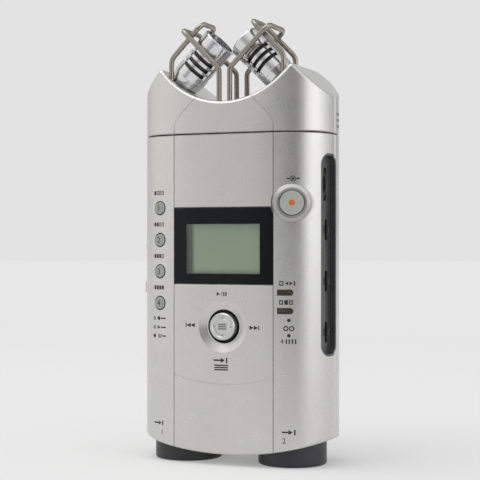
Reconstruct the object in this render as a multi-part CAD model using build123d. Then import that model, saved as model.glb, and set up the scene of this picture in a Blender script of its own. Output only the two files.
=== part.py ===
from build123d import *
import math
import os

os.makedirs("parts", exist_ok=True)

# Portable stereo field recorder, stood on its two combination input jacks.
# Frame: +Z up, x = 0 and y = 0 on the axis of the body's plan section, z = 0 on the surface it
# stands on. The control face looks towards -Y. Millimetres.

# ---------------------------------------------------------------- driving dimensions
BODY_W = 70.0            # width of the body
BODY_D = 35.0            # depth of the body
SEC_NX = 4.803           # exponents of the plan section |x/a|^nx + |y/b|^ny = 1
SEC_NY = 2.40
WALL = 2.0               # casing wall
SKIN = 1.0               # centre panel thickness
SEAM_Z = 114.9           # seam between the body and the cap
SEAM_GAP = 0.36
PART_GAP = 0.16          # gap between the front and rear shells
JOINT_BEVEL = 0.55       # width of the bevels along that joint
FOOT_R = 117.0           # radius of the curved lower end
FOOT_Z = 3.85            # lowest point of the curved lower end
PANEL_X = 18.67          # half width of the centre panel
SADDLE_R = 29.68         # microphone saddle in the cap
SADDLE_Z = 155.87
PEAK_X = 24.2
PEAK_Z = 138.9
SHOULDER_Z = 127.9       # where the shoulder plane meets x = +-35
CAP_SPLIT_Y = -8.1       # cap split under the microphones
JACK_X = 19.95           # combination jacks
JACK_Y = -1.8
JACK_R = 12.0
PLUG_R = 3.25            # bore for a 1/4 inch plug (6.35 mm)
XLR_SHELL_R = 9.6        # outside of the channel for the plug's shell
XLR_NOSE_R = 7.9
MINI_R = 1.78            # bore for a 3.5 mm plug
REC_X, REC_Z = 25.0, 90.65
KEY_X = -24.7
KEY_Z = (89.24, 78.03, 66.92, 55.79)
MENU_Z = 48.1
WIN_Z0, WIN_Z1 = 62.8, 89.15      # black display panel
LCD_X, LCD_Z0, LCD_Z1 = 13.85, 66.3, 83.55
STRIP_Y0, STRIP_Y1, STRIP_Z0, STRIP_Z1 = -9.45, 1.2, 38.0, 107.8
GAIN_Z = (81.55, 63.8, 46.2)
JOG_Z = 97.15
STRIP_FLOOR_X = 33.0      # flat floor of the strip
SW_Y = -3.95             # middle of the gain switches
MIC_Y = -8.1
MIC_FACE = (4.7, 148.0)
MIC_R = 6.0
MIC_HEAD_R = 6.3
MIC_LEN = 19.3            # face to the end of the barrel
MIC_SLOTS = (7.45, 10.0, 12.45)   # start depths of the acoustic slots
MIC_SLOT_W = 1.4
WIRE_R = 0.9
BOARD_Y0, BOARD_Y1 = -11.4, -9.8
SCREW_XZ = ((-28.0, 28.5), (28.0, 28.5), (-28.0, 110.6), (28.0, 110.6))
CAP_SCREW_XZ = ((-26.4, 120.6), (26.4, 120.6))
AA_R, AA_L = 7.1, 50.5

A, B = BODY_W / 2, BODY_D / 2
MIN3 = (Align.CENTER, Align.CENTER, Align.MIN)


def sgn(v):
    return (v > 0) - (v < 0)


def normal_at(x, y):
    gx = SEC_NX / A * abs(x / A) ** (SEC_NX - 1) * sgn(x)
    gy = SEC_NY / B * abs(y / B) ** (SEC_NY - 1) * sgn(y)
    length = math.hypot(gx, gy)
    return gx / length, gy / length


_faces = {}


def section(off, count=72):
    """Plan section moved inwards by off, as one closed smooth curve."""
    if off in _faces:
        return _faces[off]
    n = 6000
    dense = []
    for i in range(n):
        t = 2 * math.pi * (i + 0.5) / n
        c, s = math.cos(t), math.sin(t)
        x = A * sgn(c) * abs(c) ** (2 / SEC_NX)
        y = B * sgn(s) * abs(s) ** (2 / SEC_NY)
        nx, ny = normal_at(x, y)
        dense.append((x - off * nx, y - off * ny))
    run = [0.0]
    for p, q in zip(dense, dense[1:] + dense[:1]):
        run.append(run[-1] + math.dist(p, q))
    total, pts, j = run[-1], [], 0
    for k in range(count):
        s = total * (k + 0.5) / count
        while run[j + 1] < s:
            j += 1
        u = (s - run[j]) / (run[j + 1] - run[j])
        p, q = dense[j], dense[(j + 1) % n]
        pts.append((p[0] + u * (q[0] - p[0]), p[1] + u * (q[1] - p[1])))
    _faces[off] = Face(Wire([Spline(*pts, periodic=True)]))
    return _faces[off]


def prism(off, z0, z1):
    return Pos(0, 0, z0) * extrude(section(off), z1 - z0)


def box(x0, x1, y0, y1, z0, z1):
    return Pos((x0 + x1) / 2, (y0 + y1) / 2, (z0 + z1) / 2) * Box(x1 - x0, y1 - y0, z1 - z0)


def zcyl(x, y, r, z0, z1):
    return Pos(x, y, z0) * Cylinder(r, z1 - z0, align=MIN3)


def ycyl(x, z, r, y0, y1):
    return Pos(x, y0, z) * Rot(-90, 0, 0) * Cylinder(r, y1 - y0, align=MIN3)


def xcyl(y, z, r, x0, x1):
    return Pos(x0, y, z) * Rot(0, 90, 0) * Cylinder(r, x1 - x0, align=MIN3)


def front_plane(x, z):
    """Plane on the front face at x, z, with its normal pointing out."""
    y = -B * (1 - abs(x / A) ** SEC_NX) ** (1 / SEC_NY)
    nx, ny = normal_at(x, y)
    return Plane(origin=(x, y, z), x_dir=(-ny, nx, 0), z_dir=(nx, ny, 0))


def ncyl(plane, r, d0, d1):
    """Cylinder on the plane's normal, from depth d0 to depth d1 below it."""
    return plane.offset(-d1).location * Cylinder(r, d1 - d0, align=MIN3)


def rounded_x(y0, y1, z0, z1, r, x0, x1):
    """Bar along X with a rounded rectangular section in Y and Z."""
    sk = Plane.YZ.offset(x0) * Pos((y0 + y1) / 2, (z0 + z1) / 2) * RectangleRounded(y1 - y0, z1 - z0, r)
    return extrude(sk, x1 - x0)


def rounded_y(x0, x1, z0, z1, r, y0, y1):
    sk = Plane.XZ.offset(-y1) * Pos((x0 + x1) / 2, (z0 + z1) / 2) * RectangleRounded(x1 - x0, z1 - z0, r)
    return extrude(sk, y1 - y0)


def foot(r):
    return Pos(0, 0, FOOT_Z + FOOT_R) * Rot(90, 0, 0) * Cylinder(r, 60)


def soften(part, picks, radii, cut=fillet):
    for r in radii:
        try:
            out = cut(picks(part), r)
            if out.is_valid and abs(out.volume - part.volume) < 0.05 * part.volume:
                return out
        except Exception:
            continue
    print("edges left sharp")
    return part


def save(part, name):
    solids = [s for s in part.solids() if s.volume > 1e-3]
    shape = solids[0] if len(solids) == 1 else Compound(children=solids)
    shape.label = name
    export_step(shape, f"parts/{name}.step")
    print(name, len(solids), round(sum(s.volume for s in solids), 1))


# ---------------------------------------------------------------- casing of the body
low_top = SEAM_Z - SEAM_GAP / 2
body = prism(0, 2, low_top) & foot(FOOT_R)
body = soften(body, lambda p: [e for e in p.edges() if e.center().Z < 12 and e.length > 30], (0.9, 0.8, 0.5))
body = soften(body, lambda p: [e for e in p.edges() if abs(e.center().Z - low_top) < 0.01], (0.3, 0.2), chamfer)
cavity = prism(WALL, 2, low_top + 1) & foot(FOOT_R - WALL)
walls = body - cavity
panel_solid = body - prism(SKIN, 0, 120)
walls_deep = body - prism(SKIN + 0.05, 0, 120)

sides = {"front": box(-40, 40, -20, -PART_GAP / 2, 0, 120), "rear": box(-40, 40, PART_GAP / 2, 20, 0, 120)}
front = walls & sides["front"]
rear = walls & sides["rear"]
# the joint line on both sides has small bevels, so it reads as a fine groove
for sx in (-1, 1):
    bevel = Pos(sx * (A + 0.02), 0, 60) * Rot(0, 0, 45) * Box(JOINT_BEVEL, JOINT_BEVEL, 160)
    front -= bevel
    rear -= bevel

# jack holes through the lower end
for sx in (-1, 1):
    hole = zcyl(sx * JACK_X, JACK_Y, JACK_R + 0.2, 0, 14)
    front -= hole
    rear -= hole

# recess for the centre panel, and what shows through it
front -= walls_deep & box(-PANEL_X - 0.07, PANEL_X + 0.07, -20, 0, 0, 120)
front -= rounded_y(-15.4, 15.4, 64.9, 85.0, 0.5, -20, -14)
front -= ycyl(0, MENU_Z, 9.8, -20, -14)

# record boss, turned on the face's normal
rec = front_plane(REC_X, REC_Z)
boss_pts = [(3.0, -2.0), (3.0, 0.3), (4.62, 0.3), (4.78, 0.5), (5.2, 0.5), (6.35, 0.0), (6.75, -0.6), (6.85, -2.0)]
boss_face = Plane.XZ * make_face(Polyline(*boss_pts, close=True))
boss = rec.location * revolve(boss_face, Axis.Z)
front += boss - prism(WALL, 80, 100)
front -= ncyl(rec, 4.45, -2, 6)
front -= ncyl(rec, 5.2, 1.9, 6)

# track keys
keys = [front_plane(KEY_X, z) for z in KEY_Z]
for k in keys:
    front -= ncyl(k, 2.56, -2, 6)
    front -= ncyl(k, 3.1, 1.5, 6)


# indicator windows: square at the left, round at the right
def dee(x0, x1, z0, z1, y0, y1):
    r = (z1 - z0) / 2
    return box(x0, x1 - r, y0, y1, z0, z1) + ycyl(x1 - r, (z0 + z1) / 2, r, y0, y1)


LED = ((59.07, 61.17), (52.8, 54.9))
for z0, z1 in LED:
    front -= dee(20.0, 25.5, z0, z1, -20, -12)
for z in (50.7, 45.5):
    front -= ycyl(24.0, z, 0.6, -20, -12)

# openings in the left side, all in the front shell
LEFT_Y = -3.4
LINE_Z, PHONES_Z, VOL_Z, POWER_Z, USB_Z, DC_Z = 101.15, 88.85, 75.4, 59.5, 49.8, 38.6
for z in (LINE_Z, PHONES_Z):
    front -= xcyl(LEFT_Y, z, 2.72, -36, -30)
front -= rounded_x(-8.2, -4.8, VOL_Z - 6.4, VOL_Z + 6.4, 1.0, -36, -30)
front -= rounded_x(-8.0, -5.0, POWER_Z - 4.2, POWER_Z + 4.2, 0.8, -36, -30)
front -= rounded_x(-8.7, -4.3, USB_Z - 4.2, USB_Z + 4.2, 0.8, -36, -30)
front -= xcyl(-5.2, DC_Z, 3.6, -36, -30)

# window for the side strip, across the joint between the shells
strip_hole = rounded_x(STRIP_Y0, STRIP_Y1, STRIP_Z0, STRIP_Z1, 4.0, 28, 38)
front -= strip_hole
rear -= strip_hole

# screw posts
for x, z in SCREW_XZ:
    post = ycyl(x, z, 2.8, -16, -PART_GAP / 2) & prism(WALL - 0.5, 0, 120)
    front += post
    front -= ycyl(x, z, 1.03, -10.5, 1)
    rpost = ycyl(x, z, 3.1, PART_GAP / 2, 16) & prism(WALL - 0.5, 0, 120)
    rear += rpost
    rear -= ycyl(x, z, 1.15, 0, 20)
    rear -= ycyl(x, z, 2.25, 11.2, 20)

# battery opening in the rear: a ledge carries the door's edges
DOOR_X, DOOR_TOP = 20.0, 100.0
door_zone = box(-DOOR_X, DOOR_X, 4, 20, 0, DOOR_TOP)
rear -= (prism(-1, 0, DOOR_TOP + 0.15) - prism(1.45, -1, 121)) & box(-DOOR_X - 0.15, DOOR_X + 0.15, 4, 20, 0, DOOR_TOP + 0.15)
rear -= (prism(-1, 9, DOOR_TOP - 1.6) - prism(2.4, 8, 121)) & box(-DOOR_X + 1.6, DOOR_X - 1.6, 4, 20, 9, DOOR_TOP - 1.6)
rear -= box(-12.3, 12.3, 11.1, 13.7, 0, 12)
save(front, "front_shell")
save(rear, "rear_shell")

door = (body - prism(1.32, 0, 121)) & door_zone
# grip ridges near the door's upper end
for i in range(5):
    door -= box(-8, 8, 17.05, 19, 88 + i * 1.8, 88.7 + i * 1.8)
save(door, "battery_door")

# ---------------------------------------------------------------- centre panel and display
panel = panel_solid & box(-PANEL_X + 0.08, PANEL_X - 0.08, -20, -10, 0, 120)
panel += ycyl(0, MENU_Z, 9.6, -16.8, -15.3)
panel -= (box(-20, 20, -20, -10, WIN_Z0 - 0.06, WIN_Z1 + 0.06) - prism(0.66, 50, 100))
panel = soften(panel, lambda p: [e for e in p.edges() if min(abs(e.center().Z - WIN_Z0 + 0.06), abs(e.center().Z - WIN_Z1 - 0.06)) < 0.01 and e.center().Y < -17.0 and e.length > 20], (0.3, 0.2), chamfer)
panel -= rounded_y(-14.5, 14.5, 65.7, 84.2, 0.4, -20, -10)
panel -= ncyl(rec, 7.2, -3, 6)
dish = revolve(Plane.XZ * make_face(Polyline((0, 0.4), (9.25, 0.4), (9.0, 0), (6.25, -1.15), (0, -1.15), close=True)), Axis.Z)
panel -= Plane(origin=(0, -BODY_D / 2, MENU_Z), x_dir=(1, 0, 0), z_dir=(0, -1, 0)).location * dish
panel -= ycyl(0, MENU_Z, 5.9, -20, -10)
# fine sagging groove across the lower panel
ARC_R, ARC_Z = 60.2, 88.4
groove = (ycyl(0, ARC_Z, ARC_R + 0.14, -20, -12) - ycyl(0, ARC_Z, ARC_R - 0.14, -21, -11)) & box(-19, 19, -20, -12, 20, 40)
panel -= groove - prism(0.22, 0, 120)
save(panel, "center_panel")

bezel = (prism(0.02, 50, 100) - prism(0.6, 49, 101)) & box(-PANEL_X + 0.14, PANEL_X - 0.14, -20, -10, WIN_Z0, WIN_Z1)
bezel -= ncyl(rec, 7.5, -3, 6)
bezel -= rounded_y(-LCD_X, LCD_X, LCD_Z0, LCD_Z1, 0.35, -20, -10)
save(bezel, "display_bezel")
window = (prism(0.06, 50, 100) - prism(0.6, 49, 101)) & rounded_y(-LCD_X + 0.04, LCD_X - 0.04, LCD_Z0 + 0.04, LCD_Z1 - 0.04, 0.33, -20, -10)
save(window, "display_window")
save(box(-15.2, 15.2, -16.2, -12.4, 65.1, 84.8), "lcd_module")

# ---------------------------------------------------------------- cap
cap_bot = SEAM_Z + SEAM_GAP / 2
slope = math.atan2(PEAK_Z - SHOULDER_Z, A - PEAK_X)


def under_shoulders(drop):
    """Region below both shoulder planes and the saddle, moved inwards by drop."""
    k = drop / math.cos(slope)
    top = PEAK_Z + math.tan(slope) * PEAK_X - k
    pts = [(-45, 100), (45, 100), (45, top - math.tan(slope) * 45), (0, top), (-45, top - math.tan(slope) * 45)]
    roof = extrude(Plane.XZ * make_face(Polyline(*pts, close=True)), 30, both=True)
    return roof - ycyl(0, SADDLE_Z, SADDLE_R + drop, -30, 30)


def under_back(drop, r=15.5):
    """Side profile: flat top, rear edge rounded."""
    top = 141.0 - drop
    block = box(-45, 45, -30, 2.5, 100, top + 5) + box(-45, 45, 2, 30, 100, 124.5)
    return block + (Pos(0, 2.5, 124.5) * Rot(0, 90, 0) * Cylinder(r - drop, 90) & box(-45, 45, 2, 30, 120, 145))


cap = prism(0, cap_bot, 142) & under_shoulders(0) & under_back(0)
cap = soften(cap, lambda p: [e for e in p.edges() if e.center().Z > 124 and e.length > 1.0], (1.3, 1.5, 1.0))
cap = soften(cap, lambda p: [e for e in p.edges() if abs(e.center().Z - cap_bot) < 0.01], (0.3, 0.2), chamfer)
cap_cavity = prism(WALL, cap_bot - 1, 142) & under_shoulders(WALL) & under_back(WALL)
cap_walls = cap - cap_cavity
cap_front_zone = box(-40, 40, -20, -PART_GAP / 2, 110, 145) - box(-PEAK_X, PEAK_X, CAP_SPLIT_Y - PART_GAP / 2, 20, 110, 145)
cap_rear_zone = box(-40, 40, PART_GAP / 2, 20, 110, 145) + box(-PEAK_X + PART_GAP, PEAK_X - PART_GAP, CAP_SPLIT_Y + PART_GAP / 2, 20, 110, 145)
cap_front = cap_walls & cap_front_zone
cap_rear = cap_walls & cap_rear_zone
for sx in (-1, 1):
    bevel = Pos(sx * (A + 0.02), 0, 120) * Rot(0, 0, 45) * Box(JOINT_BEVEL, JOINT_BEVEL, 60)
    cap_front -= bevel
    cap_rear -= bevel

# centre panel of the cap, narrowing upwards in a V
vee_pts = [(-PANEL_X, 100), (-PANEL_X, 117.7), (-18.0, 119.8), (-15.5, 122.6), (-10.2, 127.9), (-6, 133),
           (6, 133), (10.2, 127.9), (15.5, 122.6), (18.0, 119.8), (PANEL_X, 117.7), (PANEL_X, 100)]
vee = extrude(Plane.XZ.offset(10) * make_face(Polyline(*vee_pts, close=True)), 20)
vee_in = extrude(Plane.XZ.offset(10) * make_face(Polyline(*[(x - 0.09 * sgn(x), z - (0.05 if z > 120 else 0)) for x, z in vee_pts], close=True)), 20)
cap_front -= (cap - prism(SKIN + 0.05, 110, 145)) & vee
cap_panel = (cap - prism(SKIN, 110, 145)) & vee_in

# holes for the guard wires and the microphone necks
INNER_X, INNER_Y0, INNER_Y1 = 2.0, -15.8, -0.2
OUTER_X, OUTER_Y0, OUTER_Y1 = 21.2, -13.85, -2.1
INNER_LOW = SADDLE_Z - math.sqrt((SADDLE_R + WALL + 0.2) ** 2 - INNER_X ** 2)
OUTER_LOW = SADDLE_Z - math.sqrt((SADDLE_R + WALL + 0.2) ** 2 - OUTER_X ** 2)
for sx in (-1, 1):
    for x, z, y0, y1 in ((INNER_X, INNER_LOW, INNER_Y0, INNER_Y1), (OUTER_X, OUTER_LOW, OUTER_Y0, OUTER_Y1)):
        for y in (y0, y1):
            wire_hole = zcyl(sx * x, y, WIRE_R + 0.12, z - 0.05, 145)
            cap_front -= wire_hole
            cap_rear -= wire_hole
            cap_panel -= wire_hole


def mic_plane(sx):
    fx, fz = MIC_FACE
    d = (-sx * math.sqrt(0.5), 0, math.sqrt(0.5))
    return Plane(origin=(sx * fx, MIC_Y, fz), x_dir=(0, 1, 0), z_dir=d)


NECK_R = 4.0
for sx in (-1, 1):
    neck_hole = ncyl(mic_plane(sx), NECK_R + 0.15, 14, 27)
    cap_front -= neck_hole
    cap_rear -= neck_hole

# three short grip grooves in the right side of the rear half
for z in (117.6, 119.75, 121.9):
    cap_rear -= (rounded_x(0.9, 5.6, z - 0.45, z + 0.45, 0.4, 30, 37) - prism(0.45, 110, 130))

for x, z in CAP_SCREW_XZ:
    post = ycyl(x, z, 2.4, -16, -PART_GAP / 2) & prism(WALL - 0.5, 110, 140)
    cap_front += post
    cap_front -= ycyl(x, z, 1.03, -10.5, 1)
    rpost = ycyl(x, z, 2.9, PART_GAP / 2, 16) & prism(WALL - 0.5, 110, 140)
    cap_rear += rpost
    cap_rear -= ycyl(x, z, 1.15, 0, 20)
    cap_rear -= ycyl(x, z, 2.25, 11.2, 20)
save(cap_panel, "cap_center_panel")
save(cap_front, "cap_front_shell")
save(cap_rear, "cap_rear_shell")

# ---------------------------------------------------------------- screws
screws = None
for x, z in SCREW_XZ + CAP_SCREW_XZ:
    s = ycyl(x, z, 1.0, -9.5, 11.25) + ycyl(x, z, 2.0, 11.25, 12.55)
    s -= box(x - 1.3, x + 1.3, 11.9, 13, z - 0.25, z + 0.25)
    s -= box(x - 0.25, x + 0.25, 11.9, 13, z - 1.3, z + 1.3)
    screws = s if screws is None else screws + s
save(screws, "case_screws")

# ---------------------------------------------------------------- buttons
rec_btn = ncyl(rec, 4.22, -0.28, 2.1) + ncyl(rec, 4.8, 2.1, 2.5) + ncyl(rec, 0.8, 2.5, 2.9)
rec_btn = soften(rec_btn, lambda p: [e for e in p.edges() if e.center().Y < rec.origin.Y - 0.2], (0.3, 0.2))
save(rec_btn, "rec_button")
for i, k in enumerate(keys):
    key = ncyl(k, 2.18, -0.25, 1.7) + ncyl(k, 2.8, 1.7, 2.1) + ncyl(k, 0.7, 2.1, 2.6)
    key = soften(key, lambda p: [e for e in p.edges() if e.geom_type == GeomType.CIRCLE and (e.arc_center - k.origin).dot(k.z_dir) > 0.1], (0.25, 0.15))
    save(key, f"track_key_{i + 1}")

# five-way stick: plunger, gimbal cross, silver cap and black skirt
PIVOT_Y = -13.3
plunger = ycyl(0, MENU_Z, 1.95, -12.45, -11.95) + ycyl(0, MENU_Z, 0.9, -11.95, -11.75)
for s in (-1, 1):
    plunger += box(-0.6, 0.6, -13.95, -12.45, MENU_Z + s * 1.75 - 0.3, MENU_Z + s * 1.75 + 0.3)
plunger -= zcyl(0, PIVOT_Y, 0.45, MENU_Z - 3, MENU_Z + 3)
save(plunger, "stick_plunger")
cross = zcyl(0, PIVOT_Y, 0.4, MENU_Z - 1.95, MENU_Z + 1.95) + xcyl(PIVOT_Y, MENU_Z, 0.4, -1.95, 1.95) + Pos(0, PIVOT_Y, MENU_Z) * Sphere(0.7)
save(cross, "stick_gimbal")
top = revolve(Plane.XZ * make_face(Polyline((0, -2.3), (4.7, -2.3), (4.7, 0.2), (4.42, 0.5), (3.75, 0.5), (3.5, 0.22), (2.75, 0.16), (2.6, 0.3), (0, 0.3), close=True)), Axis.Z)
menu_cap = Plane(origin=(0, -BODY_D / 2, MENU_Z), x_dir=(1, 0, 0), z_dir=(0, -1, 0)).location * top
menu_cap += ycyl(0, MENU_Z, 4.0, -15.3, -13.85)
for s in (-1, 1):
    menu_cap += box(s * 1.75 - 0.3, s * 1.75 + 0.3, -13.9, -12.75, MENU_Z - 0.6, MENU_Z + 0.6)
menu_cap -= xcyl(PIVOT_Y, MENU_Z, 0.45, -3, 3)
menu_cap -= ycyl(0, MENU_Z, 1.1, -14.3, -13.5)
menu_cap -= box(-0.9, 0.9, -14.3, -13.5, MENU_Z - 2.4, MENU_Z + 2.4)
save(menu_cap, "menu_cap")
save(ycyl(0, MENU_Z, 6.7, -14.3, -13.9) - ycyl(0, MENU_Z, 4.03, -16, -12), "menu_skirt")
save(box(-4.4, 4.4, -12.7, BOARD_Y0, MENU_Z - 4.4, MENU_Z + 4.4) - ycyl(0, MENU_Z, 2.35, -14, -11), "stick_base")

# indicator lenses
lenses = None
for z0, z1 in LED:
    lens = dee(20.08, 25.42, z0 + 0.08, z1 - 0.08, -20, -12) & (prism(0.12, 50, 65) - prism(2.6, 49, 66))
    lenses = lens if lenses is None else lenses + lens
save(lenses, "led_lenses")
dots = None
for z in (50.7, 45.5):
    d = ycyl(24.0, z, 0.55, -20, -12) & (prism(0.05, 40, 55) - prism(2.6, 39, 56))
    dots = d if dots is None else dots + d
save(dots, "mode_led_dots")

# ---------------------------------------------------------------- right-hand strip
rim = rounded_x(STRIP_Y0 + 0.08, STRIP_Y1 - 0.08, STRIP_Z0 + 0.08, STRIP_Z1 - 0.08, 3.95, 27, 38)
well = rounded_x(STRIP_Y0 + 0.75, STRIP_Y1 - 0.75, STRIP_Z0 + 0.75, STRIP_Z1 - 0.75, 3.3, 26, 39)
strip = (prism(0.12, 30, 112) - prism(2.75, 29, 113)) & rim
strip -= well & box(STRIP_FLOOR_X, 40, -20, 20, 20, 120)
JOG_SLOT = (-6.4, -3.8)
strip -= box(28, 38, JOG_SLOT[0], JOG_SLOT[1], JOG_Z - 5.65, JOG_Z + 5.65)
for z in GAIN_Z:
    strip -= box(28, 38, SW_Y - 1.25, SW_Y + 1.25, z - 3.5, z + 3.5)
save(strip, "side_strip")

JOG_XC, JOG_R = 26.95, 7.0
wheel = ycyl(JOG_XC, JOG_Z, JOG_R, -6.15, -4.05)
teeth = 44
for i in range(teeth):
    t = 2 * math.pi * i / teeth
    wheel -= ycyl(JOG_XC + (JOG_R + 0.12) * math.cos(t), JOG_Z + (JOG_R + 0.12) * math.sin(t), 0.34, -7, -3)
wheel -= ycyl(JOG_XC, JOG_Z, 1.25, -7, -3)
save(wheel, "jog_wheel")
jog_axle = ycyl(JOG_XC, JOG_Z, 1.2, -9.6, -3.3) + ycyl(JOG_XC, JOG_Z, 2.6, -9.6, -6.5)
jog_axle += box(JOG_XC - 4.5, JOG_XC + 3.0, -9.6, -6.9, JOG_Z - 4, JOG_Z + 4)
save(jog_axle, "jog_encoder")

board = box(27.0, 28.2, -9.3, 0.8, 38.2, 88.6)
save(board, "gain_switch_board")
bodies = None
for z in GAIN_Z:
    b = box(28.2, 30.0, SW_Y - 1.5, SW_Y + 1.8, z - 4.6, z + 4.6)
    b -= box(29.0, 31, SW_Y - 1.0, SW_Y + 1.0, z - 3.6, z + 3.6)
    bodies = b if bodies is None else bodies + b
save(bodies, "gain_switch_bodies")
for z, name in zip(GAIN_Z, ("mic_gain_knob", "input_1_gain_knob", "input_2_gain_knob")):
    knob = box(29.15, 34.0, SW_Y - 0.65, SW_Y + 0.65, z - 1.25, z + 1.25)
    knob = soften(knob, lambda p: [e for e in p.edges() if e.center().X > 33.95], (0.35, 0.2))
    for dz in (-0.6, 0.0, 0.6):
        knob -= box(33.8, 35, SW_Y - 1, SW_Y + 1, z + dz - 0.13, z + dz + 0.13)
    save(knob, name)


# ---------------------------------------------------------------- left-hand sockets
def mini_jack(z):
    j = box(-30.6, -19.5, LEFT_Y - 2.9, LEFT_Y + 2.9, z - 3.0, z + 3.0)
    j += xcyl(LEFT_Y, z, 2.6, -34.85, -30.5)
    j -= xcyl(LEFT_Y, z, MINI_R, -36, -21)
    return j


save(mini_jack(LINE_Z), "line_out_jack")
save(mini_jack(PHONES_Z), "phones_jack")
usb = box(-33.3, -24.5, -8.45, -4.55, USB_Z - 3.85, USB_Z + 3.85)
usb -= box(-36, -26, -8.05, -4.95, USB_Z - 3.45, USB_Z + 3.45)
usb += box(-32.6, -25.8, -6.9, -6.1, USB_Z - 2.6, USB_Z + 2.6)
save(usb, "usb_socket")
dc = box(-30.6, -19.5, -9.55, -0.8, DC_Z - 4.6, DC_Z + 4.6) + xcyl(-5.2, DC_Z, 3.45, -33.1, -30.5)
dc -= xcyl(-5.2, DC_Z, 2.75, -36, -23)
dc += xcyl(-5.2, DC_Z, 1.0, -32.4, -22.9)
save(dc, "dc_in_jack")
pw_body = box(-31.3, -27.5, -8.6, -4.4, POWER_Z - 5.2, POWER_Z + 5.2) - box(-32, -28.6, -7.6, -5.4, POWER_Z - 4.0, POWER_Z + 4.0)
save(pw_body, "power_switch_body")
pw = box(-34.9, -28.8, -7.35, -5.65, POWER_Z - 0.4, POWER_Z + 3.6)
pw = soften(pw, lambda p: [e for e in p.edges() if e.center().X < -34.8], (0.35, 0.2))
save(pw, "power_switch_knob")
VOL_XC, VOL_R = -26.6, 7.6
vol = ycyl(VOL_XC, VOL_Z, VOL_R, -7.7, -5.3)
for i in range(48):
    t = 2 * math.pi * i / 48
    vol -= ycyl(VOL_XC + (VOL_R + 0.12) * math.cos(t), VOL_Z + (VOL_R + 0.12) * math.sin(t), 0.34, -9, -4)
vol -= ycyl(VOL_XC, VOL_Z, 1.25, -9, -4)
save(vol, "volume_wheel")
save(ycyl(VOL_XC, VOL_Z, 1.2, -8.6, -2.2) + ycyl(VOL_XC, VOL_Z, 5.0, -4.9, -2.2), "volume_pot")

# ---------------------------------------------------------------- combination jacks
for sx, name in ((-1, "left"), (1, "right")):
    h = zcyl(sx * JACK_X, JACK_Y, JACK_R, 0, 24.5)
    h = soften(h, lambda p: [e for e in p.edges() if e.center().Z < 0.1], (0.8, 0.5))
    h += zcyl(sx * JACK_X, JACK_Y, 5.0, 24.4, 32.5)
    h -= zcyl(sx * JACK_X, JACK_Y, XLR_SHELL_R, -1, 15.5)
    h -= zcyl(sx * JACK_X, JACK_Y, PLUG_R, 15, 31.5)
    h -= box(sx * JACK_X - 1.2, sx * JACK_X + 1.2, JACK_Y + 9.0, JACK_Y + 10.8, -1, 12)
    save(h, f"input_jack_{name}")
    ins = zcyl(sx * JACK_X, JACK_Y, XLR_NOSE_R, 0.6, 15.5)
    ins = soften(ins, lambda p: [e for e in p.edges() if e.center().Z < 0.7], (0.5, 0.3))
    ins -= zcyl(sx * JACK_X, JACK_Y, PLUG_R, 0, 16)
    for deg in (210, 330, 90):
        cx = sx * JACK_X + 5.65 * math.cos(math.radians(deg))
        cy = JACK_Y + 5.65 * math.sin(math.radians(deg))
        ins -= zcyl(cx, cy, 1.25, 0, 12.5)
    save(ins, f"input_insert_{name}")
pins = None
for sx in (-1, 1):
    for deg in (210, 330, 90):
        cx = sx * JACK_X + 5.65 * math.cos(math.radians(deg))
        cy = JACK_Y + 5.65 * math.sin(math.radians(deg))
        tube = zcyl(cx, cy, 1.2, 2.5, 12.4) - zcyl(cx, cy, 0.8, 2, 11)
        pins = tube if pins is None else pins + tube
save(pins, "input_contacts")

# ---------------------------------------------------------------- inside the body
pcb = box(-30.0, 26.4, BOARD_Y0, BOARD_Y1, 27.0, 111.0) & prism(WALL + 0.25, 20, 113)
for x, z in SCREW_XZ:
    pcb -= ycyl(x, z, 3.1, -14, -8)
pcb += box(-12, 8, BOARD_Y1, BOARD_Y1 + 1.4, 84, 100)
pcb += box(-16, -6, BOARD_Y1, BOARD_Y1 + 1.2, 56, 66)
save(pcb, "main_board")
tact = None
for k in keys + [rec]:
    x = k.origin.X - k.z_dir.X * 4.0
    t = box(x - 1.5, x + 1.5, -12.25, BOARD_Y0, k.origin.Z - 1.5, k.origin.Z + 1.5)
    tact = t if tact is None else tact + t
save(tact, "tact_switches")

tray = box(-17.2, 17.2, -0.9, 14.9, 39.0, 95.6) & prism(WALL + 0.7, 30, 100)
for sx in (-1, 1):
    tray -= zcyl(sx * 7.6, 7.6, AA_R + 0.25, 40.4, 94.2)
    tray -= box(sx * 7.6 - AA_R - 0.25, sx * 7.6 + AA_R + 0.25, 7.6, 20, 40.4, 94.2)
save(tray, "battery_tray")
cells = contacts = None
for sx in (-1, 1):
    up = sx > 0
    z0 = 42.0
    c = zcyl(sx * 7.6, 7.6, AA_R, z0, z0 + AA_L - 1.0)
    c = soften(c, lambda p: p.edges().filter_by(GeomType.CIRCLE), (0.5, 0.3))
    nub = zcyl(sx * 7.6, 7.6, 2.75, z0 + AA_L - 1.0, z0 + AA_L) if up else zcyl(sx * 7.6, 7.6, 2.75, z0 - 1.0, z0)
    c += nub
    cells = c if cells is None else cells + c
    for z, flat in ((40.4, up), (93.8, not up)):
        leaf = box(sx * 7.6 - 4.5, sx * 7.6 + 4.5, 3.5, 12.5, z, z + 0.4)
        if flat:
            lo, hi = (z + 0.4, z0) if z < 60 else (z0 + AA_L - 1.0, z)
            r0, r1 = (4.2, 2.6) if z < 60 else (2.6, 4.2)
            coil = Pos(sx * 7.6, 7.6, lo) * Cone(r0, r1, hi - lo, align=MIN3)
            leaf += coil - zcyl(sx * 7.6, 7.6, 1.9, lo, hi)
        contacts = leaf if contacts is None else contacts + leaf
save(cells, "aa_cells")
save(contacts, "battery_contacts")

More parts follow.
